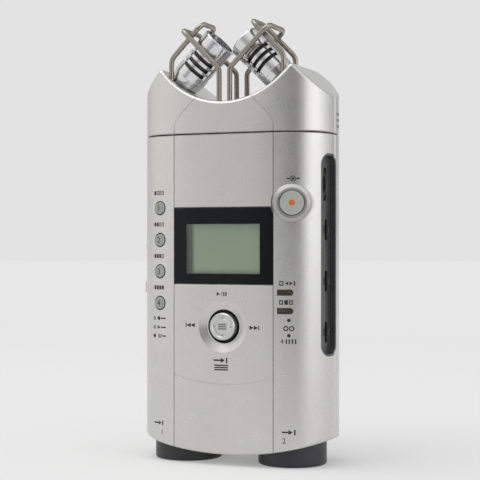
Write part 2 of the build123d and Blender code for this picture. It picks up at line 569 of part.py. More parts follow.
# memory card, pushed up into a slot in the lower end behind the jacks
CARD_Y0, CARD_Y1 = 11.35, 13.45
sock = box(-14.5, 14.5, CARD_Y0 - 0.75, CARD_Y1 + 0.6, 9.0, 38.0)
sock -= box(-12.15, 12.15, CARD_Y0 - 0.12, CARD_Y1 + 0.12, 8.0, 37.2)
save(sock, "card_socket")
card = box(-12.0, 12.0, CARD_Y0, CARD_Y1, 4.4, 36.2)
card -= Pos(12.0, 0, 36.2) * Rot(0, 45, 0) * Box(5.6, 60, 5.6)
save(card, "memory_card")

# ---------------------------------------------------------------- microphones
frame_plate = (ycyl(0, SADDLE_Z, SADDLE_R + WALL + 1.6, -12.6, 1.2) - ycyl(0, SADDLE_Z, SADDLE_R + WALL + 0.25, -20, 20)) & box(-22.6, 22.6, -20, 20, 110, 140)
necks = None
for sx in (-1, 1):
    frame_plate -= ncyl(mic_plane(sx), NECK_R + 0.05, 14, 40)
    for x, y in ((OUTER_X, OUTER_Y0), (OUTER_X, OUTER_Y1), (INNER_X, INNER_Y1)):
        frame_plate -= zcyl(sx * x, y, WIRE_R + 0.05, 118, 145)
save(frame_plate, "mic_frame")
for sx, name in ((-1, "left"), (1, "right")):
    mp = mic_plane(sx)
    over_saddle = ycyl(0, SADDLE_Z, SADDLE_R - 0.12, -20, 5)
    neck = ncyl(mp, NECK_R, MIC_LEN, MIC_LEN + 7.4) + (ncyl(mp, MIC_R - 0.85, MIC_LEN, MIC_LEN + 3) & over_saddle)
    necks = neck if necks is None else necks + neck
    # barrel, closed below, with a fine groove above its tapered foot
    side = [(MIC_R - 1.0, -6.2), (MIC_R, -6.2), (MIC_R, -16.93), (MIC_R - 0.16, -17.03), (MIC_R - 0.03, -17.15),
            (MIC_R - 0.5, -MIC_LEN), (0, -MIC_LEN), (0, 1.1 - MIC_LEN), (MIC_R - 1.0, 1.1 - MIC_LEN)]
    barrel = mp.location * revolve(Plane.XZ * make_face(Polyline(*side, close=True)), Axis.Z)
    # three rings of acoustic slots, each broken by two ribs
    for d in MIC_SLOTS:
        ring = ncyl(mp, MIC_R + 1, d, d + MIC_SLOT_W) - ncyl(mp, MIC_R - 1.4, d - 1, d + MIC_SLOT_W + 1)
        ring -= mp.location * Pos(0, 0, -d) * Rot(0, 0, -3.75 + 4.75 * sx) * Box(2.2, 16, 8)
        barrel -= ring
    save(barrel, f"mic_barrel_{name}")
    head = ncyl(mp, MIC_HEAD_R, 0.1, 6.2)
    head = soften(head, lambda p: [e for e in p.edges() if e.geom_type == GeomType.CIRCLE and (e.arc_center - mp.origin).length < 0.2], (0.6, 0.4))
    head -= ncyl(mp, MIC_HEAD_R - 1.0, -1, 6.4)
    # recessed grille
    grille = ncyl(mp, MIC_HEAD_R - 0.95, 2.0, 2.7)
    for i in range(-3, 4):
        grille -= mp.location * Pos(i * 1.35, 0, -2.3) * Box(0.75, 9.6 - abs(i) * 1.25, 4)
    head += grille
    save(head, f"mic_head_{name}")
capsules = None
for sx in (-1, 1):
    mp = mic_plane(sx)
    c = ncyl(mp, MIC_HEAD_R - 1.05, 3.1, 6.15) + ncyl(mp, MIC_R - 1.45, 6.15, MIC_LEN - 1.3)
    capsules = c if capsules is None else capsules + c
save(necks, "mic_necks")
save(capsules, "mic_capsules")


def guard(pts, radii):
    path = FilletPolyline(*pts, radius=radii)
    start = Plane(origin=path @ 0, z_dir=path % 0)
    tube = sweep(start * Circle(WIRE_R), path=path)
    length = path.length
    print("  wire", round(length, 2), "volume ratio", round(tube.volume / (math.pi * WIRE_R ** 2 * length), 4))
    return tube


inner = outer = None
for sx in (-1, 1):
    z0 = INNER_LOW
    pts = [(sx * INNER_X, INNER_Y0, z0), (sx * INNER_X, INNER_Y0, 137.6), (sx * 16.3, INNER_Y0, 151.7),
           (sx * 16.3, INNER_Y1, 151.7), (sx * INNER_X, INNER_Y1, 137.6), (sx * INNER_X, INNER_Y1, z0)]
    w = guard(pts, [3.0, 2.6, 2.6, 3.0])
    inner = w if inner is None else inner + w
    z0 = OUTER_LOW
    pts = [(sx * OUTER_X, OUTER_Y0, z0), (sx * OUTER_X, OUTER_Y0, 141.8), (sx * 9.4, OUTER_Y0, 153.8),
           (sx * 9.4, OUTER_Y1, 153.8), (sx * OUTER_X, OUTER_Y1, 141.8), (sx * OUTER_X, OUTER_Y1, z0)]
    w = guard(pts, [4.4, 2.6, 2.6, 4.4])
    outer = w if outer is None else outer + w
save(inner, "inner_guards")
save(outer, "outer_guards")
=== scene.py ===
import math

import bmesh
import bpy
from mathutils import Matrix, Vector


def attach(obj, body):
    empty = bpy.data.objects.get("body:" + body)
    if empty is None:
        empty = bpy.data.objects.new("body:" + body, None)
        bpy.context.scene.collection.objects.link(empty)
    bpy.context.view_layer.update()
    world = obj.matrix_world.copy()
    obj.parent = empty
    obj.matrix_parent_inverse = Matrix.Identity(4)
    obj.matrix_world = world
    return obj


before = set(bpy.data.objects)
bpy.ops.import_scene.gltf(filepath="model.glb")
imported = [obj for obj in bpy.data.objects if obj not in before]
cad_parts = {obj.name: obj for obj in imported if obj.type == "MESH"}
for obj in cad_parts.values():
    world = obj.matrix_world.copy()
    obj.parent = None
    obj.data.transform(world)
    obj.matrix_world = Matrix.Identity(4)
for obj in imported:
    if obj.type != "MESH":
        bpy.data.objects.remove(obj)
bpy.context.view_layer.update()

MM = 0.001
scene = bpy.context.scene

# ------------------------------------------------------------------ plan section of the body
SEC_A, SEC_B, SEC_NX, SEC_NY = 35.0, 17.5, 4.803, 2.40


def front(x):
    """Point and outward normal of the front face at x, in millimetres."""
    y = -SEC_B * (1 - abs(x / SEC_A) ** SEC_NX) ** (1 / SEC_NY)
    nx = SEC_NX / SEC_A * abs(x / SEC_A) ** (SEC_NX - 1) * (1 if x > 0 else -1)
    ny = -SEC_NY / SEC_B * abs(y / SEC_B) ** (SEC_NY - 1)
    k = math.hypot(nx, ny)
    return y, nx / k, ny / k


# ------------------------------------------------------------------ materials
class Shader:
    """A Principled material with helpers for procedural detail in the part's own coordinates."""

    def __init__(self, name, base, metallic=0.0, rough=0.5, **sockets):
        self.mat = bpy.data.materials.new(name)
        self.mat.use_nodes = True
        self.nt = self.mat.node_tree
        self.nt.nodes.clear()
        self.out = self.nt.nodes.new("ShaderNodeOutputMaterial")
        self.bsdf = self.nt.nodes.new("ShaderNodeBsdfPrincipled")
        self.nt.links.new(self.bsdf.outputs[0], self.out.inputs[0])
        self.coord = self.nt.nodes.new("ShaderNodeTexCoord").outputs["Object"]
        self.bsdf.inputs["Base Color"].default_value = (*base, 1.0)
        self.bsdf.inputs["Metallic"].default_value = metallic
        self.bsdf.inputs["Roughness"].default_value = rough
        for key, value in sockets.items():
            self.bsdf.inputs[key.replace("_", " ")].default_value = value
        self.colour = None
        self.base = base
        self.rough = rough
        self.roughness = None
        self.height = []

    def node(self, kind, **props):
        n = self.nt.nodes.new(kind)
        for k, v in props.items():
            setattr(n, k, v)
        return n

    def link(self, a, b):
        self.nt.links.new(a, b)

    def value(self, v):
        n = self.node("ShaderNodeValue")
        n.outputs[0].default_value = v
        return n.outputs[0]

    def math(self, op, a, b=None, c=None, clamp=False):
        n = self.node("ShaderNodeMath", operation=op, use_clamp=clamp)
        for i, v in enumerate((a, b, c)):
            if v is None:
                continue
            if isinstance(v, (int, float)):
                n.inputs[i].default_value = v
            else:
                self.link(v, n.inputs[i])
        return n.outputs[0]

    def mapped(self, scale=(1, 1, 1), rotate=(0, 0, 0)):
        n = self.node("ShaderNodeMapping")
        n.inputs["Scale"].default_value = scale
        n.inputs["Rotation"].default_value = rotate
        self.link(self.coord, n.inputs["Vector"])
        return n.outputs[0]

    def noise(self, scale, detail=2.0, rough=0.5, stretch=None, rotate=(0, 0, 0)):
        n = self.node("ShaderNodeTexNoise")
        n.inputs["Scale"].default_value = scale
        n.inputs["Detail"].default_value = detail
        n.inputs["Roughness"].default_value = rough
        self.link(self.mapped(stretch, rotate) if stretch else self.coord, n.inputs["Vector"])
        return n.outputs[0]

    def cells(self, scale, feature="F1"):
        n = self.node("ShaderNodeTexVoronoi", feature=feature)
        n.inputs["Scale"].default_value = scale
        self.link(self.coord, n.inputs["Vector"])
        return n

    def span(self, v, lo, hi, to0=0.0, to1=1.0, smooth=True):
        n = self.node("ShaderNodeMapRange", interpolation_type="SMOOTHSTEP" if smooth else "LINEAR")
        n.inputs["From Min"].default_value = lo
        n.inputs["From Max"].default_value = hi
        n.inputs["To Min"].default_value = to0
        n.inputs["To Max"].default_value = to1
        self.link(v, n.inputs["Value"])
        return n.outputs[0]

    def xyz(self):
        n = self.node("ShaderNodeSeparateXYZ")
        self.link(self.coord, n.inputs[0])
        return n.outputs

    def _colour_in(self):
        if self.colour is None:
            n = self.node("ShaderNodeRGB")
            n.outputs[0].default_value = (*self.base, 1.0)
            self.colour = n.outputs[0]
        return self.colour

    def tint(self, mask, colour, amount=1.0, mode="MIX"):
        """Mix colour in where mask is 1."""
        n = self.node("ShaderNodeMix", data_type="RGBA", blend_type=mode)
        self.link(self.math("MULTIPLY", mask, amount), n.inputs[0])
        self.link(self._colour_in(), n.inputs[6])
        if isinstance(colour, tuple):
            n.inputs[7].default_value = (*colour, 1.0)
        else:
            self.link(colour, n.inputs[7])
        self.colour = n.outputs[2]

    def shade(self, signal, amount):
        """Lighten and darken the colour by signal, which is about 0.5 on average."""
        n = self.node("ShaderNodeHueSaturation")
        self.link(self.span(signal, 0.2, 0.8, 1 - amount, 1 + amount, smooth=False), n.inputs["Value"])
        self.link(self._colour_in(), n.inputs["Color"])
        self.colour = n.outputs[0]

    def vary_rough(self, signal, amount):
        a = self.span(signal, 0.2, 0.8, -amount, amount, smooth=False)
        if self.roughness is None:
            self.roughness = self.math("ADD", a, self.rough)
        else:
            self.roughness = self.math("ADD", a, self.roughness)

    def bump(self, signal, depth):
        """Height in metres."""
        self.height.append(self.math("MULTIPLY", signal, depth))

    def done(self):
        if self.colour is not None:
            self.link(self.colour, self.bsdf.inputs["Base Color"])
        if self.roughness is not None:
            self.link(self.math("MAXIMUM", self.roughness, 0.02, clamp=True), self.bsdf.inputs["Roughness"])
        if self.height:
            h = self.height[0]
            for x in self.height[1:]:
                h = self.math("ADD", h, x)
            n = self.node("ShaderNodeBump")
            n.inputs["Strength"].default_value = 1.0
            n.inputs["Distance"].default_value = 1.0
            self.link(h, n.inputs["Height"])
            self.link(n.outputs[0], self.bsdf.inputs["Normal"])
        return self.mat


def silver_paint(name, base, rough=0.30, metallic=0.80, soil=True):
    """Satin silver lacquer on plastic: fine flakes, slight orange peel, faint handling marks."""
    s = Shader(name, base, metallic, rough, Coat_Weight=0.12, Coat_Roughness=0.22, Specular_IOR_Level=0.5)
    flake = s.cells(9000)
    s.shade(flake.outputs["Distance"], 0.035)
    s.shade(s.noise(55, 3.0), 0.022)
    s.shade(s.noise(420, 2.0), 0.018)
    s.vary_rough(s.noise(140, 4.0, 0.6), 0.045)
    s.vary_rough(s.noise(1500, 2.0), 0.03)
    # hairline handling marks, stretched along the body
    marks = s.noise(220, 4.0, 0.75, stretch=(1.0, 1.0, 0.06), rotate=(0.0, 0.3, 0.5))
    fine = s.span(marks, 0.66, 0.74)
    s.tint(fine, tuple(c * 1.05 for c in base), 0.03)
    if soil:
        # sparse specks of dust
        specks = s.cells(160)
        spot = s.math("MULTIPLY", s.span(specks.outputs["Distance"], 0.025, 0.05, 1.0, 0.0), s.span(s.noise(90, 1.0), 0.74, 0.78))
        s.tint(spot, (0.40, 0.39, 0.37), 0.12)
        xyz = s.xyz()
        # grime that settles in the seams round the body, and beside the centre panel
        seam = s.math("ABSOLUTE", s.math("SUBTRACT", xyz[2], 0.1149))
        dirt = s.noise(900, 3.0, 0.6)
        near = s.math("MULTIPLY", s.span(seam, 0.00025, 0.0008, 1.0, 0.0), s.span(dirt, 0.3, 0.7, 0.35, 1.0))
        s.tint(near, (0.20, 0.19, 0.175), 0.45)
        # painted shade on the record boss: darker than the shell, least at its top
        dx, dz = s.math("SUBTRACT", xyz[0], 0.0250), s.math("SUBTRACT", xyz[2], 0.09065)
        away = s.math("SQRT", s.math("ADD", s.math("MULTIPLY", dx, dx), s.math("MULTIPLY", dz, dz)))
        boss_painted_shade = s.math("MULTIPLY", s.span(away, 0.0060, 0.0069, 1.0, 0.0), s.math("LESS_THAN", xyz[1], -0.008))
        boss_painted_shade = s.math("MULTIPLY", boss_painted_shade, s.span(dz, 0.0015, 0.0050, 1.0, 0.1))
        s.tint(boss_painted_shade, tuple(c * 0.60 for c in base), 0.85)
        edge = s.math("ABSOLUTE", s.math("SUBTRACT", s.math("ABSOLUTE", xyz[0]), 0.01863))
        edge_mask = s.math("MULTIPLY", s.span(edge, 0.00008, 0.0004, 1.0, 0.0), s.math("LESS_THAN", xyz[1], -0.012))
        edge_mask = s.math("MULTIPLY", edge_mask, s.span(s.math("ABSOLUTE", s.math("SUBTRACT", xyz[2], 0.0615)), 0.0550, 0.0560, 1.0, 0.0))
        s.tint(s.math("MULTIPLY", edge_mask, s.span(dirt, 0.25, 0.7, 0.5, 1.0)), (0.20, 0.19, 0.17), 0.35)
    peel = s.noise(1300, 1.0)
    s.bump(peel, 0.0000010)
    s.bump(s.noise(6000, 1.0), 0.0000003)
    return s.done()


def plastic(name, base, rough=0.5, grain=2500, depth=0.000006, spec=0.5, var=0.12, dust=0.12):
    s = Shader(name, base, 0.0, rough, Specular_IOR_Level=spec)
    s.shade(s.noise(90, 3.0), var)
    g = s.noise(grain, 3.0, 0.6)
    s.shade(g, 0.10)
    s.vary_rough(s.noise(300, 3.0), 0.06)
    s.bump(g, depth)
    scuff = s.span(s.noise(180, 5.0, 0.7, stretch=(1, 1, 0.15), rotate=(0.2, 0.7, 0.0)), 0.60, 0.72)
    s.tint(scuff, tuple(min(1, c * 2.2 + 0.01) for c in base), 0.25)
    if dust:
        d = s.math("MULTIPLY", s.span(s.noise(5200, 1.0), 0.66, 0.78), s.span(s.noise(260, 2.0), 0.4, 0.7))
        s.tint(d, (0.35, 0.34, 0.32), dust)
    return s.done()


def metal(name, base, rough, brush=None, var=0.05, scratches=0.2, aniso=0.0):
    s = Shader(name, base, 1.0, rough, Anisotropic=aniso)
    s.shade(s.noise(120, 3.0), var)
    s.vary_rough(s.noise(500, 3.0, 0.6), rough * 0.30)
    if brush:
        b = s.noise(1.0, 3.0, 0.6, stretch=brush)
        s.shade(b, var * 0.9)
        s.vary_rough(b, rough * 0.25)
        s.bump(b, 0.0000012)
    sc = s.span(s.noise(300, 5.0, 0.75, stretch=(1, 0.08, 1), rotate=(0.5, 0.2, 0.9)), 0.66, 0.72)
    s.tint(sc, tuple(c * 0.6 for c in base), scratches)
    return s.done()


M = {}
SILVER = (0.625, 0.62, 0.60)
M["silver"] = silver_paint("silver_lacquer", SILVER)
M["silver_button"] = silver_paint("silver_button_lacquer", (0.325, 0.342, 0.312), rough=0.40, metallic=0.45, soil=False)
M["silver_rec"] = silver_paint("record_button_lacquer", (0.495, 0.515, 0.475), rough=0.42, metallic=0.45, soil=False)
M["silver_cap"] = silver_paint("stick_cap_lacquer", (0.62, 0.62, 0.60), rough=0.30, metallic=0.75, soil=False)
M["black"] = plastic("black_moulding", (0.022, 0.022, 0.026), rough=0.42, grain=3200, depth=0.000004)
M["black_strip"] = plastic("strip_moulding", (0.045, 0.045, 0.048), rough=0.30, grain=2600, depth=0.000003, spec=0.75)
M["black_knob"] = plastic("knob_moulding", (0.018, 0.018, 0.021), rough=0.45, grain=4000, depth=0.000005)
M["black_matt"] = plastic("matt_moulding", (0.014, 0.014, 0.015), rough=0.7, grain=3000, depth=0.00001)
M["steel"] = metal("plain_steel", (0.56, 0.56, 0.55), 0.32, brush=(900, 900, 60))
M["screw"] = metal("screw_steel", (0.40, 0.40, 0.40), 0.30, brush=(700, 700, 700))
M["brass"] = metal("plated_contact", (0.78, 0.62, 0.30), 0.25)
M["capsule"] = metal("capsule_shell", (0.085, 0.082, 0.075), 0.45)
M["neck"] = metal("neck_metal", (0.30, 0.30, 0.30), 0.35, brush=(900, 900, 900))
M["wire"] = metal("nickel_wire", (0.335, 0.312, 0.268), 0.30, brush=(1500, 1500, 90), var=0.04, scratches=0.08)
M["gauze"] = metal("gauze_wire", (0.20, 0.20, 0.20), 0.35)


def chrome():
    """Polished ring and barrel metal, turned on a lathe: faint circular lines round each microphone's axis."""
    s = Shader("mic_chrome", (0.715, 0.715, 0.732), 1.0, 0.16)
    s.shade(s.noise(60, 3.0), 0.03)
    xyz = s.xyz()
    ax = s.math("ABSOLUTE", xyz[0])
    along = s.math("SUBTRACT", xyz[2], ax)  # distance along the axis, times the root of two
    turned = s.node("ShaderNodeTexNoise", noise_dimensions="1D")
    s.link(s.math("MULTIPLY", along, 9000), turned.inputs["W"])
    turned.inputs["Scale"].default_value = 1.0
    turned.inputs["Detail"].default_value = 2.0
    s.vary_rough(turned.outputs[0], 0.035)
    s.bump(turned.outputs[0], 0.00000035)
    smear = s.noise(260, 4.0, 0.7)
    s.vary_rough(smear, 0.035)
    s.tint(s.span(s.noise(2600, 2.0), 0.70, 0.80), (0.45, 0.45, 0.46), 0.3)
    return s.done()


M["chrome"] = chrome()


def gloss_black():
    s = Shader("display_gloss_black", (0.0035, 0.0042, 0.0056), 0.0, 0.09, Specular_IOR_Level=0.20)
    s.vary_rough(s.noise(240, 4.0, 0.65), 0.03)
    smear = s.span(s.noise(70, 4.0, 0.6, stretch=(1, 1, 0.4)), 0.52, 0.75)
    s.tint(smear, (0.008, 0.009, 0.010), 0.6)
    s.vary_rough(smear, 0.04)
    dust = s.math("MULTIPLY", s.span(s.noise(4200, 1.0), 0.70, 0.80), s.span(s.noise(150, 2.0), 0.45, 0.65))
    s.tint(dust, (0.10, 0.10, 0.095), 0.35)
    s.bump(s.noise(350, 1.0), 0.0000012)
    return s.done()


M["gloss_black"] = gloss_black()


def clear_window():
    s = Shader("clear_acrylic", (0.93, 0.955, 0.935), 0.0, 0.015, IOR=1.49, Transmission_Weight=1.0, Specular_IOR_Level=0.5)
    s.vary_rough(s.noise(180, 4.0, 0.65), 0.015)
    return s.done()


M["clear"] = clear_window()


def lcd():
    """Reflective display, switched off: grey-green field with a fine dot matrix, darker where its frame shades it."""
    s = Shader("lcd_field", (0.51, 0.63, 0.455), 0.0, 0.42, Specular_IOR_Level=0.35)
    xyz = s.xyz()
    # painted shade: the field darkens slightly towards the top, shifting a little towards blue
    s.tint(s.span(xyz[2], 0.0663, 0.0836), (0.46, 0.60, 0.475), 0.8)
    s.tint(s.span(s.noise(45, 2.0), 0.35, 0.65), (0.54, 0.63, 0.44), 0.5)
    # dot matrix of 0.21 mm pitch
    for axis in (0, 2):
        ph = s.math("FRACT", s.math("MULTIPLY", xyz[axis], 1 / 0.00021))
        line = s.span(s.math("ABSOLUTE", s.math("SUBTRACT", ph, 0.5)), 0.40, 0.48)
        s.tint(line, (0.37, 0.46, 0.34), 0.35)
    # painted shadow cast by the window frame's left wall across the left of the field
    left = s.span(xyz[0], -0.0124, -0.0108, 1.0, 0.0)
    s.tint(left, (0.055, 0.058, 0.052), 0.94)
    # painted shade under the top edge of the window frame
    top = s.span(xyz[2], 0.0795, 0.0838)
    s.tint(top, (0.32, 0.39, 0.32), 0.35)
    # painted shade along the bottom edge of the field, under the window frame
    low = s.span(xyz[2], 0.0662, 0.0682, 1.0, 0.0)
    s.tint(low, (0.12, 0.125, 0.085), 0.45)
    s.bump(s.noise(3000, 1.0), 0.0000008)
    return s.done()


M["lcd"] = lcd()


def smoked():
    """Smoked olive indicator lenses, mottled with lighter patches."""
    s = Shader("smoked_lens", (0.030, 0.029, 0.017), 0.0, 0.16, Specular_IOR_Level=0.5)
    s.tint(s.span(s.noise(1600, 3.0), 0.45, 0.7), (0.085, 0.080, 0.048), 0.5)
    s.tint(s.span(s.noise(500, 2.0, 0.5, stretch=(0.4, 1, 1.6)), 0.5, 0.7), (0.075, 0.072, 0.045), 0.6)
    s.bump(s.noise(2200, 2.0), 0.000003)
    return s.done()


M["smoked"] = smoked()


def board():
    s = Shader("solder_mask", (0.02, 0.10, 0.05), 0.0, 0.35)
    s.tint(s.span(s.noise(700, 3.0), 0.52, 0.56), (0.03, 0.15, 0.07), 0.8)
    pads = s.cells(420)
    s.tint(s.span(pads.outputs["Distance"], 0.12, 0.16, 1.0, 0.0), (0.55, 0.52, 0.45), 0.8)
    s.bump(s.noise(700, 3.0), 0.00002)
    return s.done()


M["board"] = board()


def cell_sleeve():
    s = Shader("cell_sleeve", (0.05, 0.055, 0.07), 0.2, 0.3)
    z = s.xyz()[2]
    s.tint(s.span(z, 0.078, 0.0785), (0.55, 0.42, 0.2), 0.9)
    s.shade(s.noise(200, 3.0), 0.1)
    return s.done()


M["cell"] = cell_sleeve()


def ink(name, base):
    """Screen-printed ink: slightly uneven, with pinholes."""
    s = Shader(name, base, 0.0, 0.55)
    s.shade(s.noise(1800, 3.0), 0.25)
    s.tint(s.span(s.noise(7000, 2.0), 0.68, 0.76), (0.22, 0.22, 0.21), 0.2)
    s.bump(s.noise(5000, 2.0), 0.000002)
    return s.done()


M["ink"] = ink("black_ink", (0.016, 0.0155, 0.015))
M["ink_grey"] = ink("grey_ink", (0.055, 0.058, 0.050))
M["ink_mid"] = ink("mid_grey_ink", (0.13, 0.13, 0.125))
M["ink_orange"] = ink("orange_ink", (0.60, 0.150, 0.012))

# ------------------------------------------------------------------ carried-over CAD nodes
FINISH = {
    "silver": ["front_shell", "rear_shell", "center_panel", "cap_front_shell", "cap_rear_shell", "cap_center_panel",
               "battery_door", "power_switch_knob"],
    "silver_button": ["track_key_1", "track_key_2", "track_key_3", "track_key_4"],
    "silver_rec": ["rec_button"],
    "silver_cap": ["menu_cap"],
    "gloss_black": ["display_bezel"],
    "clear": ["display_window"],
    "smoked": ["led_lenses"],
    "black": ["input_jack_left", "input_jack_right", "line_out_jack", "phones_jack", "dc_in_jack", "volume_wheel"],
    "black_strip": ["side_strip"],
    "black_knob": ["mic_gain_knob", "input_1_gain_knob", "input_2_gain_knob", "jog_wheel", "mode_led_dots"],
    "black_matt": ["input_insert_left", "input_insert_right", "battery_tray", "card_socket", "menu_skirt",
                   "stick_base", "memory_card"],
    "neck": ["mic_necks"],
    "chrome": ["mic_barrel_left", "mic_barrel_right", "mic_head_left", "mic_head_right"],
    "wire": ["inner_guards", "outer_guards"],
    "capsule": ["mic_capsules"],
    "steel": ["mic_frame", "usb_socket", "battery_contacts", "gain_switch_bodies", "power_switch_body", "tact_switches",
              "stick_gimbal", "stick_plunger", "jog_encoder", "volume_pot"],
    "screw": ["case_screws"],
    "brass": ["input_contacts"],
    "board": ["main_board", "gain_switch_board"],
    "cell": ["aa_cells"],
    "lcd": ["lcd_module"],
}
for key, names in FINISH.items():
    for n in names:
        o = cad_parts[n]
        o.data.materials.clear()
        o.data.materials.append(M[key])
left_over = [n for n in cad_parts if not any(n in v for v in FINISH.values())]
assert not left_over, left_over


# ------------------------------------------------------------------ pieces made here
def piece(name, mesh, mats, body, smooth=None):
    o = bpy.data.objects.new(name, mesh)
    scene.collection.objects.link(o)
    for m in mats if isinstance(mats, (list, tuple)) else [mats]:
        o.data.materials.append(m)
    if smooth is not None:
        for p in o.data.polygons:
            p.use_smooth = smooth
    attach(o, body)
    return o


def loops_mesh(loops, half=0.5):
    """Closed flat outlines (nested ones are holes) as a solid plate, z from -half to half."""
    cu = bpy.data.curves.new("outline", "CURVE")
    cu.dimensions = "2D"
    cu.fill_mode = "BOTH"
    cu.extrude = half
    for pts in loops:
        sp = cu.splines.new("POLY")
        sp.points.add(len(pts) - 1)
        for p, (x, y) in zip(sp.points, pts):
            p.co = (x, y, 0, 1)
        sp.use_cyclic_u = True
    ob = bpy.data.objects.new("outline", cu)
    scene.collection.objects.link(ob)
    bpy.context.view_layer.update()
    me = bpy.data.meshes.new_from_object(ob.evaluated_get(bpy.context.evaluated_depsgraph_get()))
    bpy.data.objects.remove(ob)
    return me


def numeral_mesh(text, height, half=0.5):
    cu = bpy.data.curves.new("numeral", "FONT")
    cu.body = text
    cu.size = height * 1.38
    cu.align_x = "CENTER"
    cu.extrude = half
    cu.resolution_u = 6
    ob = bpy.data.objects.new("numeral", cu)
    scene.collection.objects.link(ob)
    bpy.context.view_layer.update()
    me = bpy.data.meshes.new_from_object(ob.evaluated_get(bpy.context.evaluated_depsgraph_get()))
    bpy.data.objects.remove(ob)
    ys = [v.co.y for v in me.vertices]
    mid = (min(ys) + max(ys)) / 2
    for v in me.vertices:
        v.co.y -= mid
    return me


def rect(x, z, w, h):
    return [[(x - w / 2, z - h / 2), (x + w / 2, z - h / 2), (x + w / 2, z + h / 2), (x - w / 2, z + h / 2)]]


def disc(x, z, r, n=28):
    return [[(x + r * math.cos(2 * math.pi * i / n), z + r * math.sin(2 * math.pi * i / n)) for i in range(n)]]


def ring(x, z, r, r_in, n=32):
    return disc(x, z, r, n) + disc(x, z, r_in, n)


def frame_rect(x, z, w, h, t):
    return rect(x, z, w, h) + rect(x, z, w - 2 * t, h - 2 * t)


def tri(x, z, w, h, side=1):
    """Triangle pointing right (side 1) or left (side -1), x its centre."""
    return [[(x - side * w / 2, z - h / 2), (x + side * w / 2, z), (x - side * w / 2, z + h / 2)]]


def slash(x, z, w, h, t):
    return [[(x - w / 2, z - h / 2), (x - w / 2 + t, z - h / 2), (x + w / 2, z + h / 2), (x + w / 2 - t, z + h / 2)]]


RISE, SINK = 0.014, 0.03


def wrap(parts, place, step=0.4):
    """Plates in flat (u, v, t) coordinates laid on a surface: place(u, v, height) gives a point in millimetres."""
    out = bmesh.new()
    for me, du, dv in parts:
        bm = bmesh.new()
        bm.from_mesh(me)
        bmesh.ops.remove_doubles(bm, verts=bm.verts, dist=1e-5)
        lo = min(v.co.x for v in bm.verts)
        hi = max(v.co.x for v in bm.verts)
        k = int((hi - lo) / step)
        for i in range(1, k + 1):
            x = lo + (hi - lo) * i / (k + 1)
            bmesh.ops.bisect_plane(bm, geom=bm.verts[:] + bm.edges[:] + bm.faces[:], plane_co=(x, 0, 0), plane_no=(1, 0, 0), dist=1e-5)
        for v in bm.verts:
            h = RISE if v.co.z > 0 else -SINK
            p = place(v.co.x + du, v.co.y + dv, h)
            v.co = Vector(p) * MM
        tmp = bpy.data.meshes.new("tmp")
        bm.to_mesh(tmp)
        bm.free()
        out.from_mesh(tmp)
        bpy.data.meshes.remove(tmp)
        bpy.data.meshes.remove(me)
    bmesh.ops.recalc_face_normals(out, faces=out.faces)
    final = bpy.data.meshes.new("print")
    out.to_mesh(final)
    out.free()
    return final


def on_front(u, v, h):
    y, nx, ny = front(u)
    return (u + nx * h, y + ny * h, v)


def on_plane(x, z, lift):
    """Flat frame on the front face's normal at x, z, lift above the surface."""
    y, nx, ny = front(x)

    def place(u, v, h):
        k = lift + h
        return (x - ny * u + nx * k, y + nx * u + ny * k, z + v)

    return place


def flat_front(y0, z0):
    return lambda u, v, h: (u, y0 - h, z0 + v)


def mark(loops):
    return (loops_mesh(loops), 0.0, 0.0)


# transport symbols round the stick and the two-row mark below it
centre = [
    mark(tri(-1.55, 59.36, 1.3, 1.35)), mark(slash(-0.38, 59.36, 0.85, 1.5, 0.24)),
    mark(rect(0.52, 59.36, 0.5, 1.35)), mark(rect(1.36, 59.36, 0.5, 1.35)),
    mark(rect(-13.9, 48.35, 0.36, 1.5)), mark(tri(-12.9, 48.35, 1.6, 1.5, -1)), mark(tri(-11.3, 48.35, 1.6, 1.5, -1)),
    mark(tri(10.85, 47.95, 1.6, 1.5)), mark(tri(12.45, 47.95, 1.6, 1.5)), mark(rect(13.45, 47.95, 0.36, 1.5)),
    mark(rect(-1.9, 36.45, 2.9, 0.55)), mark(tri(0.15, 36.45, 1.5, 1.85)), mark(rect(1.55, 36.45, 0.55, 1.95)),
    mark(rect(-0.5, 34.72, 5.2, 0.46)), mark(rect(-0.5, 33.95, 5.2, 0.46)), mark(rect(-0.5, 33.18, 5.2, 0.46)),
]
piece("prints_centre", wrap(centre, on_front), M["ink"], "root")

# left column: four squares over each key show its number; three rows of legend
left = []
for i, z in enumerate((94.6, 83.5, 72.35, 61.25)):
    for j in range(4):
        x = -26.95 + j * 1.16
        left.append(mark(rect(x, z, 0.9, 1.4) if j <= i else frame_rect(x, z, 0.9, 1.4, 0.24)))
left += [
    mark(ring(-27.25, 50.35, 0.62, 0.32)), mark(disc(-25.2, 50.4, 0.68)), mark(rect(-23.2, 50.4, 2.1, 0.46)),
    mark(ring(-27.25, 47.2, 0.62, 0.32)), mark(tri(-25.15, 47.2, 1.25, 1.4)), mark(rect(-23.2, 47.2, 2.1, 0.46)),
    mark(disc(-27.25, 44.15, 0.64)), mark(rect(-25.15, 44.15, 0.46, 1.4)), mark(slash(-24.3, 44.15, 0.8, 1.4, 0.38)), mark(rect(-22.85, 44.15, 1.6, 0.46)),
    mark(rect(-26.3, 13.5, 1.9, 0.5)), mark(tri(-24.65, 13.5, 1.2, 1.5)), mark(rect(-23.5, 13.5, 0.5, 1.6)),
    (numeral_mesh("1", 1.85), -23.75, 10.35),
]
piece("prints_left", wrap(left, on_front), M["ink"], "root")

